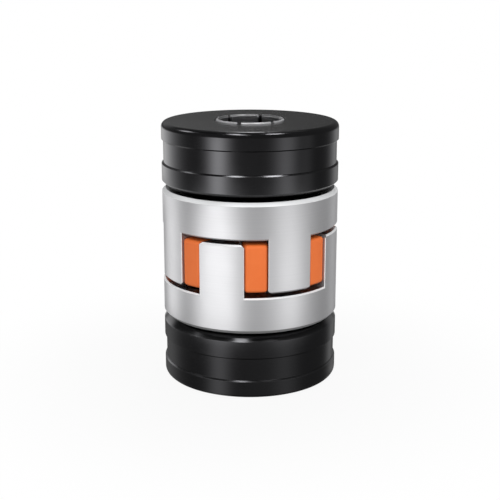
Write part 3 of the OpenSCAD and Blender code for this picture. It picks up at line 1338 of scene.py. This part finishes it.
    def build(self, camera_turn_deg: float) -> bpy.types.Object:
        """Builds the tent as a grid of turn and of a line out along the table, up the wall and back in.

        Args:
            camera_turn_deg: Direction of the camera, from +X.

        Returns:
            The tent's object.
        """
        azimuth = np.linspace(-math.pi, math.pi, self.turns)
        out = np.linspace(self.near, self.radius, self.rows[0])
        up = np.linspace(0.0, self.height, self.rows[1])[1:]
        back = np.linspace(self.radius, self.pole_r, self.rows[2])[1:]
        line_r = np.concatenate([out, self.radius + 0 * up, back])
        line_z = self.lift + np.concatenate([0 * out, up, self.height + 0 * back])
        reach, turn = np.meshgrid(line_r, azimuth, indexing="ij")
        height = np.broadcast_to(line_z[:, None], reach.shape)
        heading = math.radians(camera_turn_deg) + turn
        points = np.stack([reach * np.cos(heading), reach * np.sin(heading), height], axis=-1) / MM
        faces = grid_faces(*reach.shape, False, False)
        made = mesh_object("reflector_tent", points.reshape(-1, 3), faces, self.sharp_deg)
        set_point_values(made, GLOW, self.glow(reach, height, turn))
        made.data.materials.append(self.material())
        made.visible_camera = False
        made.visible_diffuse = False
        made.visible_transmission = False
        made.visible_shadow = False
        return made


@dataclass(frozen=True)
class Studio:
    """Camera, lamps and world of the photograph, with the floor and the tent.

    Lengths are metres. Azimuths run from the camera's direction, positive to the viewer's right.

    Attributes:
        camera_turn_deg: Direction of the camera, from +X.
        camera_elevation_deg: Height of the camera above the horizon.
        camera_distance: Distance of the camera from the middle of the object.
        focal_px: Focal length in pixels of the photograph.
        aim_drop: How far below the middle of the object the camera aims.
        floor: The floor.
        tent: The reflector cards.
        overheads: The lamps above the object.
        overhead_drop: How far below the tent's ceiling they hang.
        ambient: Level of the world for diffuse light.
        lamps: The lamps for diffuse light.
    """

    camera_turn_deg: float = -93.9
    camera_elevation_deg: float = 14.55
    camera_distance: float = 0.33275
    focal_px: float = 1044.0
    aim_drop: float = 0.00105
    floor: Floor = Floor()
    tent: Tent = Tent()
    overheads: tuple[Overhead, ...] = (
        Overhead("right_glint", 54.0, 0.085, 0.026, 6.5),
        Overhead("left_glint", -36.0, 0.073, 0.02, 6.0),
        Overhead("front_overhead", -19.0, 0.115, 0.027, 4.0),
    )
    overhead_drop: float = 0.002
    ambient: float = 0.5
    lamps: tuple[SoftBox, ...] = (
        SoftBox("key_softbox", -16.0, 35.0, 4.6),
        SoftBox("fill_softbox", 58.0, 25.0, 2.9),
        SoftBox("back_softbox", 170.0, 35.0, 4.2),
    )

    def direction(self, azimuth_deg: float, elevation_deg: float) -> Vector:
        """Unit vector towards a place around the object.

        Args:
            azimuth_deg: Direction from the camera's, positive to the viewer's right.
            elevation_deg: Height above the horizon.

        Returns:
            The unit vector.
        """
        turn = math.radians(self.camera_turn_deg + azimuth_deg)
        rise = math.radians(elevation_deg)
        level = math.cos(rise)
        return Vector((math.cos(turn) * level, math.sin(turn) * level, math.sin(rise)))

    @staticmethod
    def middle() -> Vector:
        """Middle of the CAD box."""
        return (CAD_BOX[0] + CAD_BOX[1]) / 2

    @staticmethod
    def aim(thing: bpy.types.Object, target: Vector) -> None:
        """Turns a camera or a lamp to look at a point."""
        thing.rotation_mode = "QUATERNION"
        thing.rotation_quaternion = (target - thing.location).to_track_quat("-Z", "Y")

    def camera(self) -> None:
        """Sets the camera where the photograph was taken from, with no shift."""
        data = bpy.data.cameras.new("photo_camera")
        data.sensor_width = SENSOR_MM
        data.lens = self.focal_px / PHOTO_SIDE * SENSOR_MM
        camera = link_object("photo_camera", data)
        towards = self.direction(0.0, self.camera_elevation_deg)
        camera.location = self.middle() + self.camera_distance * towards
        self.aim(camera, self.middle() - Vector((0.0, 0.0, self.aim_drop)))
        bpy.context.scene.camera = camera

    @staticmethod
    def area_lamp(name: str, shape: str, size: float, watts: float) -> bpy.types.Object:
        """Adds an area lamp that looks down.

        Args:
            name: Name of the lamp.
            shape: Blender's name of its shape.
            size: Its side or its diameter, in metres.
            watts: Its power.

        Returns:
            The lamp, at the origin.
        """
        data = bpy.data.lights.new(name, "AREA")
        data.shape = shape
        data.size = size
        data.energy = watts
        return link_object(name, data)

    def lights(self) -> None:
        """Adds the soft lamps, in whose place metal sees the cards, and the glints for metal alone."""
        for box in self.lamps:
            lamp = self.area_lamp(box.name, "SQUARE", box.side, box.watts)
            towards = self.direction(box.azimuth_deg, box.elevation_deg)
            lamp.location = self.middle() + box.distance * towards
            self.aim(lamp, self.middle())
            lamp.visible_glossy = False
        for spot in self.overheads:
            lamp = self.area_lamp(spot.name, "DISK", 2 * spot.radius, spot.watts)
            lamp.location = spot.reach * self.direction(spot.azimuth_deg, 0.0)
            lamp.location.z = self.tent.height - self.overhead_drop
            lamp.visible_diffuse = False

    def world(self) -> None:
        """A world that is white to look at and a plain level of light on the object."""
        world = bpy.data.worlds.new("white_studio")
        bpy.context.scene.world = world
        world.use_nodes = True
        tree = world.node_tree
        tree.nodes.clear()
        values = {"Value": seen_directly(tree), "To Min": self.ambient}
        level = add_node(tree, Kind.RANGE, values)
        sky = add_node(tree, Kind.BACKGROUND, {"Color": to_linear(WHITE), "Strength": level})
        add_node(tree, Kind.WORLD_OUT, {"Surface": sky})

    def build(self) -> None:
        """Builds the whole studio and reports what stands in it."""
        bpy.context.scene.view_settings.view_transform = "Standard"
        self.camera()
        self.world()
        self.lights()
        LOG.info("set up %s", self.floor.build().name)
        LOG.info("set up %s", self.tent.build(self.camera_turn_deg).name)


def main() -> None:
    """Dresses the CAD nodes, builds the new pieces and the studio, and reports each."""
    logging.basicConfig(level=logging.INFO, format="%(name)s: %(message)s")
    hub_metal = HUB_FINISH.build()
    ring_metal = RING_FINISH.build()
    elastomer = SPIDER_FINISH.build()
    steel = SCREW_FINISH.build()
    for half in Half:
        LOG.info("dressed %s", Hub(half).dress(hub_metal))
        LOG.info("dressed %s", ClampRing(half).dress(ring_metal))
        screws = ClampScrews(half).build(steel)
        LOG.info("built %s, %d faces", screws.name, len(screws.data.polygons))
    spider = Spider().build(elastomer)
    LOG.info("built %s, %d faces", spider.name, len(spider.data.polygons))
    Studio().build()


if __name__ == "__main__":
    main()
